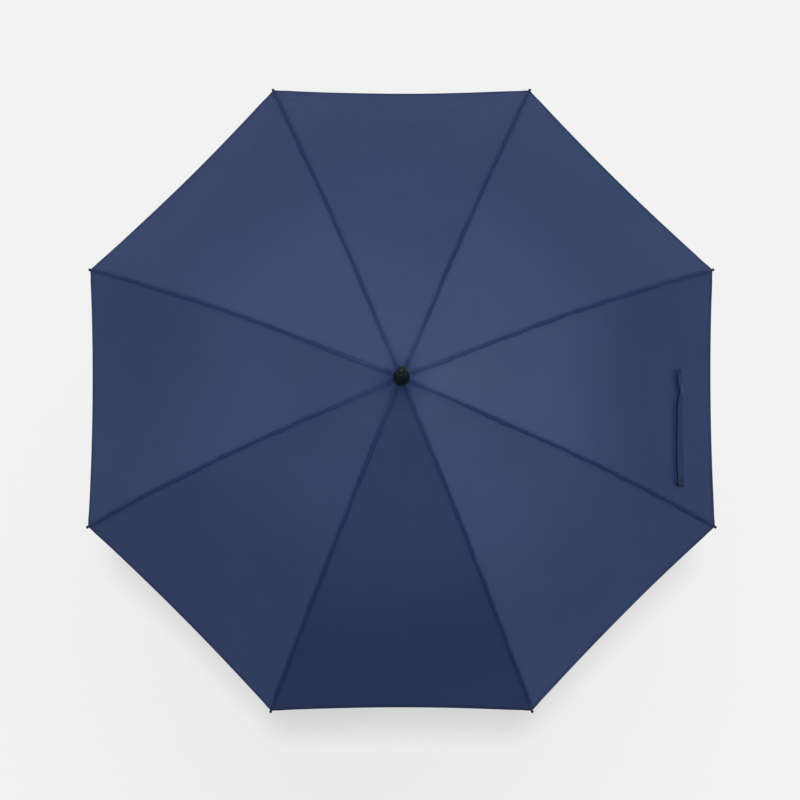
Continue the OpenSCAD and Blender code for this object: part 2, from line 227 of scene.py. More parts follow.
# ---------------------------------------------------------------- materials
class Nodes:
    """A short way to build a node tree round a Principled shader."""

    def __init__(self, name):
        self.material = bpy.data.materials.new(name)
        self.material.use_nodes = True
        self.tree = self.material.node_tree
        self.shader = self.tree.nodes["Principled BSDF"]

    def new(self, kind, inputs=None, **settings):
        """A node. Each input is either a socket to link or a value to set."""
        node = self.tree.nodes.new(kind)
        for key, value in settings.items():
            setattr(node, key, value)
        for key, value in (inputs or {}).items():
            if isinstance(value, bpy.types.NodeSocket):
                self.tree.links.new(value, node.inputs[key])
            else:
                node.inputs[key].default_value = value
        return node

    def coords(self, scale):
        where = self.new("ShaderNodeTexCoord")
        return self.stretched(where.outputs["Object"], scale)

    def stretched(self, vector, scale):
        return self.new("ShaderNodeMapping", {"Vector": vector, "Scale": scale}).outputs[0]

    def noise(self, vector, scale, detail=3, rough=0.55):
        return self.new("ShaderNodeTexNoise", {"Vector": vector, "Scale": scale, "Detail": detail,
                                               "Roughness": rough}).outputs["Fac"]

    def math(self, operation, a, b=0.0):
        return self.new("ShaderNodeMath", {0: a, 1: b}, operation=operation).outputs[0]

    def spread(self, value, low, high):
        """Noise between its usual ends, 0.3 and 0.7, as a value from low to high."""
        return self.new("ShaderNodeMapRange", {"Value": value, "From Min": 0.3, "From Max": 0.7,
                                               "To Min": low, "To Max": high}).outputs[0]

    def blend(self, factor, a, b, kind="MIX"):
        mix = self.new("ShaderNodeMix", {"Factor": factor}, data_type="RGBA", blend_type=kind)
        for key, value in ((6, a), (7, b)):
            if isinstance(value, bpy.types.NodeSocket):
                self.tree.links.new(value, mix.inputs[key])
            else:
                mix.inputs[key].default_value = (*value, 1)
        return mix.outputs[2]

    def finish(self, colour, roughness, bumps=(), **constants):
        """bumps is a list of (height, distance in metres, strength)."""
        link = self.tree.links.new
        link(colour, self.shader.inputs["Base Color"])
        link(roughness, self.shader.inputs["Roughness"])
        normal = None
        for height, distance, strength in bumps:
            bump = self.new("ShaderNodeBump",
                            {"Height": height, "Distance": distance, "Strength": strength})
            if normal is not None:
                link(normal, bump.inputs["Normal"])
            normal = bump.outputs[0]
        if normal is not None:
            link(normal, self.shader.inputs["Normal"])
        for key, value in constants.items():
            self.shader.inputs[key.replace("_", " ")].default_value = value
        return self.material


def scaled(colour, share):
    return tuple(c * share for c in colour)


def fabric_material(name, colour, thread_pitch=0.0006, lustre=0.1, gloss=0.12):
    """Plain woven polyester: fine threads both ways, slubs, a faint crumple and an uneven dye."""
    n = Nodes(name)
    weave = n.new("ShaderNodeAttribute", attribute_name="weave").outputs["Vector"]
    # tone darkens or lightens the cloth: its darker seams and strap, and the painted light and shade set on
    # each mesh
    tone = n.new("ShaderNodeAttribute", attribute_name="tone").outputs["Fac"]
    turn = 2 * math.pi / thread_pitch
    across = n.new("ShaderNodeSeparateXYZ", {0: weave})
    warp = n.math("SINE", n.math("MULTIPLY", across.outputs["X"], turn))
    weft = n.math("SINE", n.math("MULTIPLY", across.outputs["Y"], turn))
    threads = n.math("MULTIPLY", warp, weft)
    long_slub = n.noise(n.stretched(weave, (900, 22, 1)), 1, 2)
    cross_slub = n.noise(n.stretched(weave, (18, 700, 1)), 1, 2)
    slub = n.math("ADD", n.math("MULTIPLY", long_slub, 0.5), n.math("MULTIPLY", cross_slub, 0.5))
    dye = n.noise(n.coords((1, 1, 1)), 5.5, 4)
    crumple = n.noise(n.coords((1, 1, 0.6)), 34, 5, 0.62)
    base = n.blend(n.spread(dye, 0, 1), scaled(colour, 0.93), scaled(colour, 1.07))
    base = n.blend(n.spread(slub, 0, 0.22), base, scaled(colour, 1.5))
    # shade keeps more of its blue, as dyed cloth does
    shade = n.new("ShaderNodeCombineColor", {0: n.math("POWER", tone, 1.3), 1: tone,
                                             2: n.math("POWER", tone, 0.62)}).outputs[0]
    base = n.blend(1.0, base, shade, "MULTIPLY")
    rough = n.spread(crumple, 0.56, 0.7)
    bumps = [(crumple, 0.0004, 0.2), (slub, 0.00008, 0.5), (threads, 0.00005, 0.35)]
    return n.finish(base, rough, bumps,
                    Sheen_Weight=lustre, Sheen_Roughness=0.45, Sheen_Tint=(0.55, 0.66, 1, 1),
                    Specular_IOR_Level=gloss)


def metal_material(name, colour, rough, streak=(900, 900, 6)):
    """Plated or drawn metal: fine streaks one way, and small dull spots."""
    n = Nodes(name)
    dull = 0.08
    streaks = n.noise(n.coords(streak), 1, 3)
    spots = n.noise(n.coords((1, 1, 1)), 90, 5, 0.7)
    base = n.blend(n.spread(spots, 0, 1), scaled(colour, 0.86), scaled(colour, 1.08))
    roughness = n.math("ADD", n.spread(spots, rough - dull / 2, rough + dull / 2),
                       n.math("MULTIPLY", streaks, dull))
    bumps = [(streaks, 0.00004, 0.35), (spots, 0.00005, 0.15)]
    return n.finish(base, roughness, bumps, Metallic=1.0)


def plastic_material(name, colour, rough, grain=900, depth=0.00006, wear=0.06, gloss=0.4):
    """Moulded plastic: a fine grain, and edges and high places rubbed a little paler."""
    n = Nodes(name)
    fine = n.noise(n.coords((1, 1, 1)), grain, 4, 0.6)
    broad = n.noise(n.coords((1, 1, 1)), 40, 4)
    edge = n.new("ShaderNodeNewGeometry").outputs["Pointiness"]
    rubbed = n.new("ShaderNodeMapRange", {"Value": edge, "From Min": 0.52, "From Max": 0.62,
                                          "To Min": 0, "To Max": wear}).outputs[0]
    base = n.blend(n.spread(broad, 0, 1), scaled(colour, 0.85), scaled(colour, 1.2))
    base = n.blend(rubbed, base, scaled(colour, 3.5))
    roughness = n.spread(broad, rough - 0.05, rough + 0.07)
    return n.finish(base, roughness, [(fine, depth, 0.5)], Specular_IOR_Level=gloss)


NAVY = (0.0266, 0.0453, 0.1105)
FABRIC = fabric_material("navy_pongee", NAVY)
SEAM = fabric_material("navy_seam", (0.0192, 0.036, 0.101), lustre=0.0, gloss=0.06)
THREAD = fabric_material("navy_thread", scaled(NAVY, 0.6), thread_pitch=0.0003, lustre=0.3)
STRAP = fabric_material("navy_strap", scaled(NAVY, 0.92), lustre=0.06)
RIB_STEEL = metal_material("zinc_rib_steel", (0.42, 0.43, 0.45), 0.34)
SHAFT_STEEL = metal_material("plated_shaft_steel", (0.6, 0.61, 0.63), 0.2, streak=(500, 500, 3))
COLLAR = metal_material("satin_collar", (0.58, 0.585, 0.6), 0.26, streak=(20, 20, 2600))
STUD = metal_material("stud_nickel", (0.03, 0.042, 0.075), 0.34, streak=(300, 300, 300))
TIP_BLACK = plastic_material("tip_plastic", (0.006, 0.008, 0.014), 0.5, gloss=0.25)
MOULDED = plastic_material("moulded_black", (0.014, 0.014, 0.017), 0.45)
FERRULE = plastic_material("ferrule_gloss", (0.003, 0.0065, 0.007), 0.4, wear=0.0, gloss=0.18)
CAP = plastic_material("cap_plastic", (0.0025, 0.0055, 0.0075), 0.42, depth=0.00002, wear=0.0, gloss=0.1)
HANDLE = plastic_material("handle_soft_black", (0.017, 0.017, 0.019), 0.5, grain=1400, depth=0.00012)

# ---------------------------------------------------------------- canopy
# distances from the seam of a gore's first columns, and from the hem of its last rows
SEAM_COLUMNS = np.array([0, 0.7, 1.5, 2.4, 3.6, 5.2, 7.5, 10.5, 15, 21])
HEM_ROWS = np.array([13, 10, 8, 6.8, 6, 5.2, 3.5, 1.5, 0])
INNER_COLUMNS = 11
ROW = 4.2
HEM_WIDTH = 7.5
STITCH_IN, STITCH_PITCH = 6.0, 1.6
LAP = 6.5
# puckers along a seam: the seed and the pitch of the short ones and of the slow ones
PUCKER_NOISE, PUCKER_SLOW_NOISE = (11, 4.6), (31, 11)
# painted light and shade for each gore and seam, lighter or darker as the light falls on it: gores 1 to 8
# near the crown, half way and near the hem
SHADE_OUT = (92, 245, 398)
GORE_PAINTED_SHADING = ((1.06, 1.03, 1.01), (1.01, 0.87, 0.98), (1.03, 1.06, 1.03), (0.84, 1.0, 1.03),
              (0.78, 0.88, 0.99), (0.63, 0.73, 0.69), (0.95, 1.04, 1.14), (1.16, 1.14, 0.94))
SEAM_PAINTED_SHADING = (1.38, 1.25, 1.28, 1.42, 1.25, 1.1, 1.1, 1.2)


def at_line(k):
    """The rib line's distance from the shaft, k steps along."""
    return np.interp(k, LINE_K, LINE_OUT)


def puckers(along, seam_rib, short_shift=0.0, slow_shift=0.0):
    """The gathers along a rib's seam, before they fade."""
    (short_seed, short_pitch), (slow_seed, slow_pitch) = PUCKER_NOISE, PUCKER_SLOW_NOISE
    short = wobble(along + short_shift, short_seed + seam_rib, short_pitch)
    slow = wobble(along + slow_shift, slow_seed + seam_rib, slow_pitch)
    return PUCKER * short + PUCKER_SLOW * slow


def crown_fade(out):
    """0 at the crown, where the cloth is held flat, and 1 from 74 mm out."""
    return smooth((out - 14) / 60)


def dip(k):
    """How far the middle of a gore hangs below its seams."""
    u = np.asarray(k, float) / STEPS
    return HEM_DIP * u + BELLY_DIP * 4 * u * (1 - u)


def relief(panel, k, t):
    """How far the cloth stands off its smooth surface: seam valleys, puckers, gathers and slack."""
    out = at_line(k)
    along = np.asarray(k, float) * STEP
    w = (1 - np.abs(t)) * out * math.sin(HALF)
    fade = crown_fade(out)
    height = -VALLEY * np.exp(-((w / 2.4) ** 2)) * smooth((out - 10) / 25)
    for side in (-1, 1):
        rib = panel if side < 0 else panel % RIBS + 1
        near = np.exp(-w / 8.5) * ((np.sign(t) == side) | (t == 0))
        height = height + fade * near * puckers(along, rib, side * 0.35 * w, side * 0.8 * w)
    slack = wobble(along, 50 + panel, 70) * np.cos(math.pi * t / 2) ** 2
    skew = wobble(along * 0.6 + 55 * t, 60 + panel, 48) * np.cos(math.pi * t / 2) ** 2
    height = height + fade * (0.8 * slack + 0.45 * skew)
    # tension folds that fan out from the two lower corners
    for side in (-1, 1):
        down = (STEPS - k) * STEP
        aside = (1 - side * t) * out * math.sin(HALF)
        away = np.hypot(down, aside)
        angle = np.arctan2(aside, down + 1)
        reach = smooth(away / 25) * np.exp(-away / 75) * smooth(aside / 6)
        height = height + 0.55 * np.sin(angle * 17 + panel + side) * reach
    gather = np.cos(t * math.pi * 3) * np.exp(-(out - 11) / 16) * 0.12
    return height + gather * (1 - t * t)


def cloth(panel, k, t, h=FABRIC_H):
    """Points of the gore whose middle is at azimuth 0: t is -1 and 1 at its seams."""
    k, t = np.broadcast_arrays(np.asarray(k, float), np.asarray(t, float))
    lifted = h + APEX_LIFT * (1 - smooth(k / 4)) - dip(k) * (1 - t * t) + relief(panel, k, t)
    out, up = off(k, lifted)
    return np.stack([out * math.cos(HALF), t * out * math.sin(HALF), up], -1)


def split_k(t):
    """The step where the cloth crosses the line square to the rib through its joint."""
    t = np.asarray(t, float)
    s = slope(JOINT_K)
    share = math.cos(HALF) ** 2 + np.abs(t) * math.sin(HALF) ** 2
    lifted = FABRIC_H - dip(JOINT_K + 2) * (1 - t * t)

    def depth(k, part, h):
        out, up = off(k, h)
        return out * part * math.cos(s) - up * math.sin(s)

    goal = depth(JOINT_K, 1.0, FABRIC_H)
    low, high = np.full(t.shape, 20.0), np.full(t.shape, 36.0)
    for _ in range(40):
        middle = (low + high) / 2
        under = depth(middle, share, lifted) < goal
        low, high = np.where(under, middle, low), np.where(under, high, middle)
    return low


def spin(angle, points):
    """The points turned round the shaft."""
    c, s = math.cos(angle), math.sin(angle)
    return points @ np.array([[c, s, 0], [-s, c, 0], [0, 0, 1]])


def hem_k(t):
    """The step where the hem's edge lies, drawn in at the middle of the gore."""
    return GORE_K1 - HEM_DRAW / STEP * (1 - t * t)


def column_shares(k):
    """Distances from the seam as shares of the half gore's width, closer together beside the seam."""
    width = np.asarray(at_line(k))[..., None] * math.sin(HALF)
    squeeze = np.minimum(1, width / 60)
    near = SEAM_COLUMNS * squeeze / width
    last = near[..., -1:]
    rest = last + (1 - last) * (np.arange(1, INNER_COLUMNS + 1) / INNER_COLUMNS)
    return np.concatenate([near, rest], -1)


def hem_stitches(mesh, panel, side, width):
    """A row of stitches along half a gore's hem, width being the half gore's at its hem."""
    t = np.linspace(1, 0, 2 + int(width / STITCH_PITCH)) * -side
    points = cloth(panel, hem_k(t) - STITCH_IN / STEP, t, h=FABRIC_H + 0.02)
    middle = panel * math.radians(GORE)
    line = spin(middle, points)
    starts, ends = line[1:-1:2], line[2::2]
    pairs = min(len(starts), len(ends))
    s = float(slope(STEPS - 1))
    normal = spin(middle, np.array([[math.sin(s) * math.cos(HALF), 0, math.cos(s)]]))[0]
    bars(mesh, starts[:pairs], ends[:pairs], [normal] * pairs, 0.5, 0.22, 1)


def half_gore(rib, side, outer):
    """One half of a gore, from its rib to its middle, on one side of the rib's joint.
    side is 1 for the half that lies counter-clockwise of its rib. Gives the object, its flat
    width and length, and its area."""
    panel = rib if side > 0 else (rib - 2) % RIBS + 1
    middle = panel * math.radians(GORE)
    start = split_k(1.0)
    if outer:
        end = hem_k(1.0) - HEM_ROWS[0] / STEP
        grow = np.linspace(0, 1, int((GORE_K1 - JOINT_K) * STEP / ROW))[:-1]
        seam_k = np.concatenate([start + grow * (end - start), hem_k(1.0) - HEM_ROWS / STEP])
        from_split = np.arange(len(seam_k))
    else:
        grow = np.linspace(0, 1, int((JOINT_K - GORE_K0) * STEP / ROW)) ** 1.15
        seam_k = GORE_K0 + grow * (start - GORE_K0)
        from_split = np.arange(len(seam_k))[::-1]
    # on the split line both stretches use the same columns, so that they meet exactly
    joined = column_shares(JOINT_K + 1.0)
    shares = joined + (column_shares(seam_k) - joined) * smooth(from_split / 6)[:, None]
    t = (1 - shares) * -side
    if outer:
        edge = hem_k(t)
        first = split_k(t[:len(grow)])
        rows = first + grow[:, None] * (edge[:len(grow)] - HEM_ROWS[0] / STEP - first)
        ks = np.vstack([rows, edge[len(grow):] - HEM_ROWS[:, None] / STEP])
    else:
        ks = GORE_K0 + grow[:, None] * (split_k(t) - GORE_K0)
    points = cloth(panel, ks, t)
    out = at_line(ks)
    w = (1 - np.abs(t)) * out * math.sin(HALF)
    # painted shade in each seam's valley, and a painted shadow on the cloth round the cap
    tone = 1 - 0.38 * np.exp(-((w / 4.4) ** 2)) - 0.34 * np.exp(-(((out - 12) / 17) ** 2))
    # painted shade: the cloth darker towards the hem, where less light falls
    hem_painted_shade = 1 - 0.18 * smooth((out - 230) / 230)
    # painted light and shade: each gore lighter or darker as the light falls on it
    tone = tone * np.interp(out, SHADE_OUT, GORE_PAINTED_SHADING[panel - 1]) * hem_painted_shade
    if outer:
        # stitched hem: a shallow groove at the stitches, darker where the cloth is double, and painted
        # shade along the folded edge
        back = (hem_k(t) - ks) * STEP
        bend = slope(ks)
        up = np.stack([np.sin(bend) * math.cos(HALF), np.zeros_like(ks), np.cos(bend)], -1)
        points = points - up * (0.22 * np.exp(-(((back - STITCH_IN) / 0.9) ** 2)))[..., None]
        tone = tone - 0.14 * smooth((HEM_WIDTH - back) / 1.5) - 0.4 * np.exp(-((back / 1.4) ** 2))
        turned_under = [(-0.15, 0.35), (0.3, 0.75), (2.5, 0.85), (HEM_WIDTH - 0.3, 0.8)]
        tucked = [cloth(panel, ks[-1:] - reach / STEP, t[-1:], h=FABRIC_H - drop)
                  for reach, drop in turned_under]
        points = np.concatenate([points] + tucked)
        long_k = np.concatenate([ks] + [ks[-1:]] * len(tucked))
        long_tone = np.concatenate([tone] + [tone[-1:]] * len(tucked))
    else:
        long_k, long_tone = ks, tone
    weave = np.stack([points[..., 1], long_k * STEP], -1) * MM
    mesh = Mesh()
    mesh.grid(spin(middle, points), 0, weave, np.clip(long_tone, 0.25, 1.3), flip=side < 0)
    if not outer:
        # a lap that slips under the outer stretch and keeps the split covered as the rib folds
        inset = 0.1 + 0.35 * smooth(w[-1:] / 9)
        lap = [points[-1:]] + [cloth(panel, ks[-1:] + reach / STEP, t[-1:], h=FABRIC_H - inset)
                               for reach in (1.2, 4, LAP)]
        lap_tone = np.concatenate([tone[-1:]] * len(lap))
        mesh.grid(spin(middle, np.concatenate(lap)), tone=lap_tone, flip=side < 0)
    if outer:
        hem_stitches(mesh, panel, side, float(w[-1, -1]))
    name = f"canopy_{'a' if side > 0 else 'b'}_{'outer' if outer else 'inner'}_{rib}"
    obj = mesh.object(name, [FABRIC, THREAD], rib_body(rib, outer), CROWN_PLACE)
    flat = (float(w.max()) * MM, float(ks.max() - ks.min()) * STEP * MM)
    # the cloth's area, cell by cell: each cell's mean width by its mean length
    wide, long = np.diff(w, axis=1), np.diff(ks, axis=0) * STEP
    cells = (wide[1:] + wide[:-1]) * (long[:, 1:] + long[:, :-1])
    area = abs(float(np.sum(cells))) / 4 * MM * MM
    return obj, flat, area


def seam(rib, outer):
    """The joined seam over a rib: a narrow, slightly wandering welt that sits in the cloth's valley."""
    first, last = (JOINT_K, GORE_K1 - 0.2) if outer else (1.2, JOINT_K)
    pitch = 2.6
    ks = np.linspace(first, last, int((last - first) * STEP / pitch))
    out_line = at_line(ks)
    along = ks * STEP
    ends = smooth((ks - 1.2) / 4) * smooth((GORE_K1 + 0.3 - ks) / 3)
    slim = 0.4 + 0.6 * ends
    drift = (1.0 * wobble(along, 80 + rib, 26) + 0.45 * wobble(along, 90 + rib, 8)) * ends
    width = (2.2 + 0.6 * wobble(along, 100 + rib, 19) + 0.3 * wobble(along, 110 + rib, 6)) * slim
    height = 0.45 + 0.12 * wobble(along, 120 + rib, 7)
    sunk = -VALLEY * smooth((out_line - 10) / 25)
    pucker = crown_fade(out_line) * puckers(along, rib)
    base = FABRIC_H + APEX_LIFT * (1 - smooth(ks / 4)) + sunk + pucker
    section = [(-1, 0.0), (-0.8, 0.75), (-0.3, 1.0), (0.3, 0.85), (0.8, 0.6), (1, 0.0),
               (0.5, -0.2), (-0.5, -0.2)]
    rings = []
    for x, y in section:
        out, up = off(ks, base + y * height * slim + 0.12)
        rings.append(np.stack([out, drift + x * width, up], -1))
    rings = np.stack(rings, 1)[:, ::-1]
    mesh = Mesh()
    weave = np.stack([rings[..., 1], np.repeat(along[:, None], len(section), 1)], -1) * MM
    # painted light and shade for each seam as the light falls on it, over the seam's own darker tone, which
    # is deepest along its middle
    tone = SEAM_PAINTED_SHADING[rib - 1] * (0.72 - 0.17 * ends * smooth((ks - 1) / 12))
    mesh.tube(spin(rib_azimuth(rib), rings), weave=weave, tone=np.repeat(tone, len(section)))
    name = f"seam_{'outer' if outer else 'inner'}_{rib}"
    obj = mesh.object(name, [SEAM], rib_body(rib, outer), CROWN_PLACE)
    return obj


def canopy():
    """Sixteen stretches of rib, each with a seam over it and half a gore on either side."""
    for rib in range(1, RIBS + 1):
        for outer in (False, True):
            welt = seam(rib, outer)
            for side in (1, -1):
                obj, flat, area = half_gore(rib, side, outer)
                if side > 0 and not outer:
                    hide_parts(f"canopy_panel_{rib}")
                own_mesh(obj)


# ---------------------------------------------------------------- rib tips
def rib_tips():
    """A ringed plastic cap on each rib, with a thread winding that holds the gore's corner."""
    end_out, end_up = off(STEPS, 0)
    s = float(slope(STEPS - 0.5))
    profile = [(1.75, -6), (2.35, -6), (2.45, -5.5), (2.4, -4.9), (2.05, -4.3), (2.0, -1.6), (2.0, 0.0),
               (2.2, 0.8), (2.3, 1.8), (2.15, 2.8), (1.7, 3.6), (1.0, 4.1), (0.0, 4.25)]
    for rib in range(1, RIBS + 1):
        mesh = Mesh()
        lathe(mesh, profile, 28)
        for z in (-3.9, -3.3, -2.7, -2.1):
            angles = np.arange(24) * math.pi / 12
            loops = []
            for b in np.arange(6) * math.pi / 3:
                r = 2.12 + 0.3 * math.cos(b)
                height = z + 0.3 * math.sin(b) + 0.18 * np.sin(angles + z)
                loops.append(np.stack([r * np.cos(angles), r * np.sin(angles), height], -1))
            mesh.grid(np.array(loops + loops[:1]), 1, close=True)
        a = rib_azimuth(rib)
        place = (CROWN_PLACE @ Matrix.Rotation(a, 4, "Z")
                 @ Matrix.Translation((float(end_out) * MM, 0, float(end_up) * MM))
                 @ Matrix.Rotation(math.pi / 2 + s, 4, "Y"))
        obj = mesh.object(f"tip_{rib}", [TIP_BLACK, THREAD], f"rib_outer_{rib}", place)
        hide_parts(f"rib_tip_{rib}")


# ---------------------------------------------------------------- cap and ferrule
COLLAR_TOP, CAP_TOP, FERRULE_TOP, FERRULE_R = 6.8, 16, 92, 7.2


def turned(name, profile, material, node, bevel=0.3, z=CROWN_Z):
    """A turned piece of the root body, in place of a CAD node. Its heights are measured from z."""
    mesh = Mesh()
    lathe(mesh, profile, 96, bevel=bevel)
    obj = mesh.object(name, [material], "root", Matrix.Translation((0, 0, z * MM)))
    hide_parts(node)
    return obj


def cap_and_ferrule():
    """The stepped cap over the crown, and the grooved ferrule with its rounded end piece."""
    z = COLLAR_TOP
    turned("cap", [(5.1, z), (11.9, z), (12.5, z + 0.7), (12.5, z + 1.8), (11.8, z + 2.4), (11.3, z + 2.4),
                   (10.6, z + 3.4), (10.1, z + 4.1), (10.1, z + 5.6), (9.6, z + 6.2), (9.2, z + 6.2),
                   (8.5, z + 7.6), (8.1, CAP_TOP), (5.1, CAP_TOP)],
           CAP, "canopy_cap", bevel=0.45)
    grooves = []
    deep = FERRULE_R - 0.55
    for low in (19.0, 22.4, 80.0):
        grooves += [(FERRULE_R, low), (deep, low + 0.35), (deep, low + 1.05), (FERRULE_R, low + 1.4)]
    low = FERRULE_TOP - 6
    turned("ferrule_body",
           [(5.05, CAP_TOP), (FERRULE_R, CAP_TOP)] + grooves + [(FERRULE_R, low), (5.0, low)],
           FERRULE, "ferrule")
    end = FERRULE_R - 0.6
    turned("ferrule_end",
           [(0, low), (end, low), (end, low + 1.6), (end - 0.5, low + 2.9), (end - 1.5, low + 4.1),
            (end - 3.0, low + 5.1), (1.8, low + 5.8), (0, low + 6)],
           FERRULE, "ferrule_tip", bevel=0.8)


# ---------------------------------------------------------------- handle
GRIP_TOP, GRIP_HALF, CROOK_R, HANDLE_R, HOOK_RISE = 40, 35, 36, 12, 10


def handle():
    """The crook: a round bar, eased in under the band, with a ring groove before its domed end."""
    path = [((0, GRIP_TOP - s), (0, -1)) for s in np.linspace(0, GRIP_TOP + GRIP_HALF, 26)]
    for a in np.linspace(0, math.pi, 61)[1:]:
        path.append(((CROOK_R - CROOK_R * math.cos(a), -GRIP_HALF - CROOK_R * math.sin(a)),
                     (math.sin(a), -math.cos(a))))
    for s in np.linspace(0, HOOK_RISE, 9)[1:]:
        path.append(((2 * CROOK_R, -GRIP_HALF + s), (0, 1)))
    for a in np.linspace(0, math.pi / 2, 12)[1:-1]:
        path.append(((2 * CROOK_R, HOOK_RISE - GRIP_HALF + HANDLE_R * math.sin(a)), (0, 1)))
    sides = 56
    angles = np.arange(sides) * 2 * math.pi / sides
    rings = []
    end = HOOK_RISE - GRIP_HALF
    for (x, z), (dx, dz) in path:
        r = HANDLE_R
        if x == 0 and z > GRIP_TOP - 3:
            r = HANDLE_R - 0.9 * (1 - smooth((GRIP_TOP - z) / 3))
        if x > 2 * CROOK_R - 0.01:
            if z > end:
                r = math.sqrt(max(HANDLE_R ** 2 - (z - end) ** 2, 1))
            elif 2.4 < end - z < 4.2:
                r = HANDLE_R - 0.8
        # mould line along the crook's plane
        ridge = 0.1 * (np.abs(np.sin(angles)) < 0.07)
        across = (r + ridge) * np.cos(angles)
        rings.append(np.stack([x + across * dz, (r + ridge) * np.sin(angles), z - across * dx], -1))
    mesh = Mesh()
    mesh.tube(np.array(rings)[:, ::-1])
    crook = mesh.object("handle_crook", [HANDLE], "root")
    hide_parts("handle")
    z = GRIP_TOP
    turned("handle_band",
           [(5.1, z), (12.0, z), (12.2, z + 0.9), (13.0, z + 1.2), (13.0, z + 3.7), (12.2, z + 4.1),
            (12.0, z + 5.2), (11.7, z + 7.4), (12.0, z + 8.6), (12.9, z + 9), (13.0, z + 10.7),
            (12.3, z + 11.2), (11.2, z + 12), (5.1, z + 12)],
           COLLAR, "handle_collar", z=0)


# ---------------------------------------------------------------- closing strap
STRAP_K, STRAP_Y, STRAP_LEN, STRAP_W = 0.85 * STEPS, 24, 166, 16
PATCH_LIFT, PATCH_T, STRAP_T = 0.4, 0.8, 1.2
STRAP_LOW = PATCH_LIFT + PATCH_T + 0.3
CLOTH_T = 0.6
STRAP_END_R = STRAP_W / 2
STRAP_STITCH_IN = 1.6
FOLD_Y, FOLD_LEN = -22, 16


def strap_frame():
    """The strap's own frame, lying on the gore with Y across it, and the gore's half width there."""
    half = float(np.interp(STRAP_K, LINE_K, LINE_OUT)) * math.sin(HALF)
    t0 = STRAP_Y / half
    out, up = off(STRAP_K, FABRIC_H + CLOTH_T - dip(STRAP_K) * (1 - t0 * t0))
    origin = Vector((float(out) * math.cos(HALF), STRAP_Y, float(up) + CROWN_Z)) * MM
    return Matrix.Translation(origin) @ Matrix.Rotation(float(slope(STRAP_K)), 4, "Y"), half


STRAP_PLACE, STRAP_HALF = strap_frame()


def strap_height(y):
    """The gore's height under the strap at y, over its height at the strap's origin."""
    return dip(STRAP_K) * (((y + STRAP_Y) / STRAP_HALF) ** 2 - (STRAP_Y / STRAP_HALF) ** 2)


def band_surface(ys, left, right, low, high, across=13):
    """Rings round a flat band: over its top from left to right and back underneath."""
    rings = []
    for y, l, r, b, h in zip(ys, left, right, low, high):
        u = np.linspace(0, 1, across)
        x = l + (r - l) * u
        bulge = 0.35 * np.sqrt(np.clip(1 - (2 * u - 1) ** 8, 0, 1))
        groove = 0.16 * (np.exp(-(((x - l - STRAP_STITCH_IN) / 0.5) ** 2))
                         + np.exp(-(((r - STRAP_STITCH_IN - x) / 0.5) ** 2)))
        top = np.stack([x, np.full(across, y), h(u) + bulge - groove], -1)
        bottom = np.stack([x[::-1], np.full(across, y), np.full(across, b)], -1)
        rings.append(np.concatenate([top, bottom]))
    return np.array(rings)


def strap_stitches(mesh, line):
    pairs = len(line) // 2
    bars(mesh, line[:-1:2], line[1::2], [np.array([0, 0, 1.0])] * pairs, 0.45, 0.2, 1)


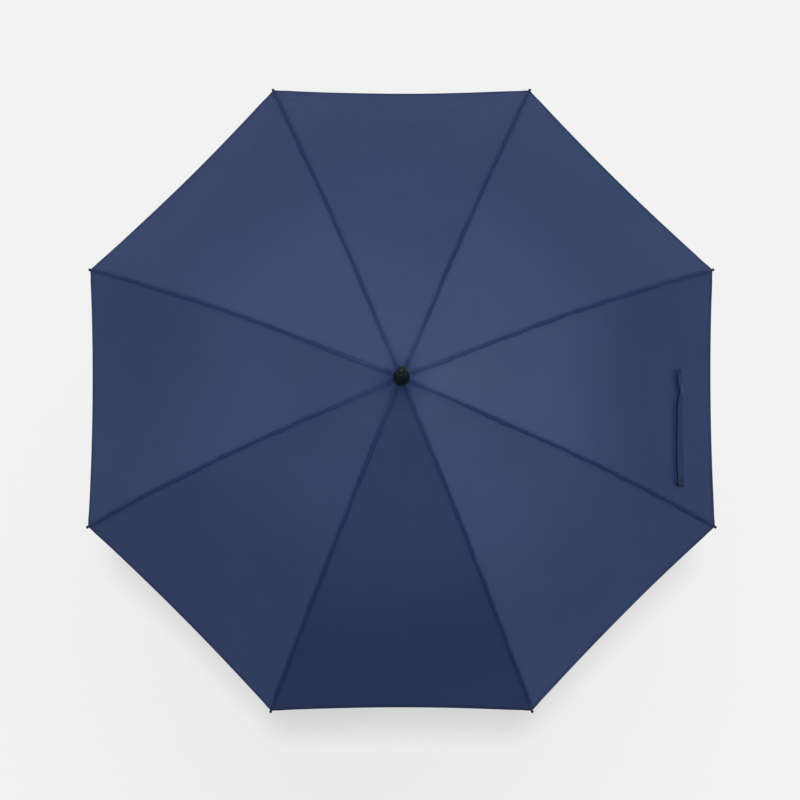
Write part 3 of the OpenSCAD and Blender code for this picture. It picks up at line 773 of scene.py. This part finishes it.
def strap_band():
    """The band runs out of its gathered root over a soft fold, with a painted shadow line by its inner
    edge, a painted highlight on the fold and painted shade on its edges and end.
    """
    end_y = STRAP_END_R - STRAP_LEN
    ys = np.concatenate([np.linspace(6, -46, 40), np.linspace(-48, end_y, 56),
                         end_y - STRAP_END_R * np.sin(np.linspace(0.12, math.pi / 2, 10))])
    left, right, low, high = [], [], [], []
    for y in ys:
        fold = math.exp(-(((y - FOLD_Y) / FOLD_LEN) ** 2))
        gathered = float(smooth((y + 2) / 8))
        tail = max(0.0, end_y - y) / STRAP_END_R
        half = STRAP_END_R * max(max(0.0, 1 - tail ** 5) ** 0.2, 0.12)
        drift = 0.5 * float(wobble(y, 7, 30))
        spread = 2.2 + 3.4 * float(smooth((-y - 50) / 90))
        left.append(-half - spread * half / STRAP_END_R + 6.4 * fold + 1.6 * gathered + drift)
        right.append(half + 2.0 * fold - 2.6 * gathered + drift * 0.6)
        ground = float(strap_height(y)) + STRAP_LOW
        low.append(ground)
        lift = 0.7 + 0.35 * float(wobble(y, 8, 24))
        end_curl = 0.8 * float(smooth((-y - 140) / 16))

        def top(u, ground=ground, fold=fold, lift=lift, curl=end_curl):
            ridge = 1.5 * fold * np.exp(-(((u - 0.82) / 0.16) ** 2))
            swell = lift * (1 - fold) * np.exp(-(((u - 0.24) / 0.16) ** 2))
            inner_edge = swell - 0.3 * np.exp(-((u / 0.1) ** 2))
            return ground + STRAP_T - 0.35 + ridge + inner_edge + curl * (1 - u) ** 2

        high.append(top)
    rings = band_surface(ys, left, right, low, high)
    mesh = Mesh()
    across = rings[..., 0] - np.array(left)[:, None]
    tops = rings.shape[1] // 2
    u = np.linspace(0, 1, tops)
    # painted shadow: a dark line just inside the band's lifted inner edge
    tone = 0.6 + 0.1 * np.exp(-across / 1.2) - 0.3 * np.exp(-(((across - 2.6) / 2.2) ** 2))
    tone = tone - 0.6 * np.exp(-(((across - 3.7) / 1.5) ** 2))
    # painted highlight on the ridge of the fold
    painted_fold_highlight = 1.1 * np.exp(-(((rings[..., 1] + 17) / 7) ** 2))
    tone[:, :tops] += painted_fold_highlight[:, :tops] * np.exp(-(((u - 0.82) / 0.14) ** 2))
    # painted shade along the band's outer edge
    tone[:, :tops] -= 0.25 * np.exp(-(((u - 1) / 0.1) ** 2))
    # painted shadow along the band's end
    painted_end_shadow = 1 - smooth((STRAP_LEN - 2 + rings[..., 1]) / 2.5)
    tone = tone - 0.42 * painted_end_shadow * np.clip(1.6 - across / 11, 0, 1)
    # painted shade on the band's underside and side walls
    tone[:, tops:] = 0.4
    weave = np.stack([rings[..., 0], rings[..., 1]], -1) * MM
    mesh.tube(rings[:, ::-1], weave=weave[:, ::-1], tone=np.clip(tone, 0.03, 1.5)[:, ::-1])
    for edge, sign in ((left, 1), (right, -1)):
        y = np.arange(end_y + 1, 2, 1.5)
        x = np.interp(y, ys[::-1], np.array(edge)[::-1]) + sign * STRAP_STITCH_IN
        u = np.clip((x - np.interp(y, ys[::-1], np.array(left)[::-1])) / STRAP_W, 0, 1)
        z = [float(high[int(np.argmin(np.abs(ys - yy)))](uu)) + 0.22 for yy, uu in zip(y, u)]
        strap_stitches(mesh, np.stack([x, y, z], -1))
    band = mesh.object("strap_band", [STRAP, THREAD], "strap", STRAP_PLACE)
    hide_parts("strap")


def strap_root():
    """The sewn root: two gathered layers that taper towards the band, stitched to the gore."""
    mesh = Mesh()
    across = 15
    u = np.linspace(-1, 1, across)
    rings = []
    for v in np.linspace(0, 1, 18):
        y = np.full(across, 13 - 20 * v)
        w = STRAP_W / 2 - v
        pleat = 0.22 * np.cos(u * 9 + 2 * v) + 0.12 * np.sin(u * 17)
        ground = float(strap_height(y[0])) + PATCH_LIFT
        edge = np.sqrt(np.clip(1 - u ** 10, 0, 1))
        top = np.stack([u * w, y, ground + 0.2 + (PATCH_T - 0.2 + pleat * 0.6) * edge], -1)
        bottom = np.stack([u[::-1] * w, y, np.full(across, ground - 0.35)], -1)
        rings.append(np.concatenate([top, bottom]))
    mesh.tube(np.array(rings)[:, ::-1], tone=0.46)
    for y in (11.6, 10.2, 1.0):
        x = np.arange(-6, 6.1, 1.1)
        z = float(strap_height(y) + PATCH_LIFT + PATCH_T + 0.16)
        strap_stitches(mesh, np.stack([x, np.full(len(x), y), np.full(len(x), z)], -1))
    root = mesh.object("strap_root_fold", [STRAP, THREAD], "strap_root", STRAP_PLACE)
    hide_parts("strap_patch")


def strap_stud():
    """The press stud near the band's end: a domed cap with a rolled rim."""
    mesh = Mesh()
    lathe(mesh, [(3.1, -0.1), (3.2, 0.25), (3.2, 0.75), (2.9, 1.05), (2.55, 0.95), (2.3, 0.75), (1.9, 1.0),
                 (1.2, 1.3), (0.5, 1.42), (0, 1.45)], 40, bevel=0.12)
    y = 9 - STRAP_LEN
    tilt = math.atan(float(strap_height(y + 0.5) - strap_height(y - 0.5)))
    z = float(strap_height(y)) + STRAP_LOW + STRAP_T + 0.35
    place = STRAP_PLACE @ Matrix.Translation((0, y * MM, z * MM)) @ Matrix.Rotation(tilt, 4, "X")
    stud = mesh.object("strap_stud", [STUD], "strap", place)
    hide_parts("strap_snap")


def strap():
    strap_band()
    strap_root()
    strap_stud()


# ---------------------------------------------------------------- finishes of the CAD nodes that stay
def finish_frame():
    finishes = {"shaft_tube": SHAFT_STEEL, "crown": MOULDED, "crown_wire": RIB_STEEL,
                "stop_pin": SHAFT_STEEL, "handle_pin": SHAFT_STEEL, "runner": MOULDED,
                "runner_wire": RIB_STEEL, "top_catch": SHAFT_STEEL, "bottom_catch": SHAFT_STEEL}
    for i in range(1, RIBS + 1):
        for part in ("rib", "rib_outer", "stretcher"):
            finishes[f"{part}_{i}"] = RIB_STEEL
    for node, material in finishes.items():
        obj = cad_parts[node]
        obj.data.materials.clear()
        obj.data.materials.append(material)


# ---------------------------------------------------------------- floor, light and camera
def floor_plane():
    """A pale floor that gives off the backdrop's light and can be seen through from below."""
    size = 14.0
    low = min(CAD_BOX[0][2], CAD_BOX[1][2]) - 0.001
    mesh = bpy.data.meshes.new("floor")
    corners = [(x * size, y * size, low) for x, y in ((-1, -1), (1, -1), (1, 1), (-1, 1))]
    mesh.from_pydata(corners, [], [(0, 1, 2, 3)])
    floor = bpy.data.objects.new("floor", mesh)
    bpy.context.scene.collection.objects.link(floor)
    n = Nodes("pale_floor")
    tree = n.tree
    n.shader.inputs["Base Color"].default_value = (0.22, 0.22, 0.22, 1)
    n.shader.inputs["Roughness"].default_value = 0.9
    n.shader.inputs["Specular IOR Level"].default_value = 0.0
    n.shader.inputs["Emission Color"].default_value = (1, 1, 1, 1)
    n.shader.inputs["Emission Strength"].default_value = 0.608
    clear = n.new("ShaderNodeBsdfTransparent")
    facing = n.new("ShaderNodeNewGeometry").outputs["Backfacing"]
    mix = n.new("ShaderNodeMixShader", {0: facing, 1: n.shader.outputs[0], 2: clear.outputs[0]})
    tree.links.new(mix.outputs[0], tree.nodes["Material Output"].inputs["Surface"])
    mesh.materials.append(n.material)


def room():
    """The room lights the object dimly, and is as pale as the floor where it is seen past it."""
    world = bpy.data.worlds.new("studio")
    bpy.context.scene.world = world
    world.use_nodes = True
    nodes, link = world.node_tree.nodes, world.node_tree.links.new
    dim = nodes["Background"]
    dim.inputs[0].default_value = (0.93, 0.95, 1, 1)
    dim.inputs[1].default_value = 0.25
    pale = nodes.new("ShaderNodeBackground")
    pale.inputs[0].default_value = (0.888, 0.888, 0.888, 1)
    seen = nodes.new("ShaderNodeLightPath").outputs["Is Camera Ray"]
    mix = nodes.new("ShaderNodeMixShader")
    link(seen, mix.inputs[0])
    link(dim.outputs[0], mix.inputs[1])
    link(pale.outputs[0], mix.inputs[2])
    link(mix.outputs[0], nodes["World Output"].inputs[0])


def sun(name, strength, place, spread):
    """A sun that shines from place towards the umbrella's middle, as soft as spread in degrees."""
    data = bpy.data.lights.new(name, "SUN")
    data.energy = strength
    data.angle = math.radians(spread)
    lamp = bpy.data.objects.new(name, data)
    lamp.location = place
    lamp.rotation_mode = "QUATERNION"
    lamp.rotation_quaternion = (Vector((0, 0, 0.45)) - Vector(place)).to_track_quat("-Z", "Y")
    bpy.context.scene.collection.objects.link(lamp)


def studio():
    floor_plane()
    room()
    sun("overhead", 2.6, (0.0, 0.11, 3.6), 7)
    sun("key_softbox", 1.0, (0.45, 2.4, 3.2), 60)
    bpy.context.scene.view_settings.view_transform = "Standard"
    bpy.context.scene.view_settings.look = "None"


# the view: degrees above level, metres away, the lens as pixels across a picture, and where it aims
ELEVATION, DISTANCE = 83.4, 6.0
FOCAL_PX, PICTURE_PX = 3914, 800
AIM_X, AIM_Y, AIM_Z = -0.00218, -0.00357, 0.44


def camera():
    data = bpy.data.cameras.new("camera")
    data.sensor_width = 36
    data.lens = FOCAL_PX / PICTURE_PX * data.sensor_width
    e = math.radians(ELEVATION)
    back = Vector((0, -math.cos(e), math.sin(e)))
    up = Vector((0, math.sin(e), math.cos(e)))
    aim = Vector((AIM_X, 0, AIM_Z)) + up * AIM_Y
    cam = bpy.data.objects.new("camera", data)
    cam.location = aim + back * DISTANCE
    cam.rotation_mode = "QUATERNION"
    cam.rotation_quaternion = (-back).to_track_quat("-Z", "Y")
    data.clip_start, data.clip_end = 0.05, 60
    bpy.context.scene.collection.objects.link(cam)
    bpy.context.scene.camera = cam


camera()
canopy()
rib_tips()
cap_and_ferrule()
handle()
strap()
finish_frame()
studio()
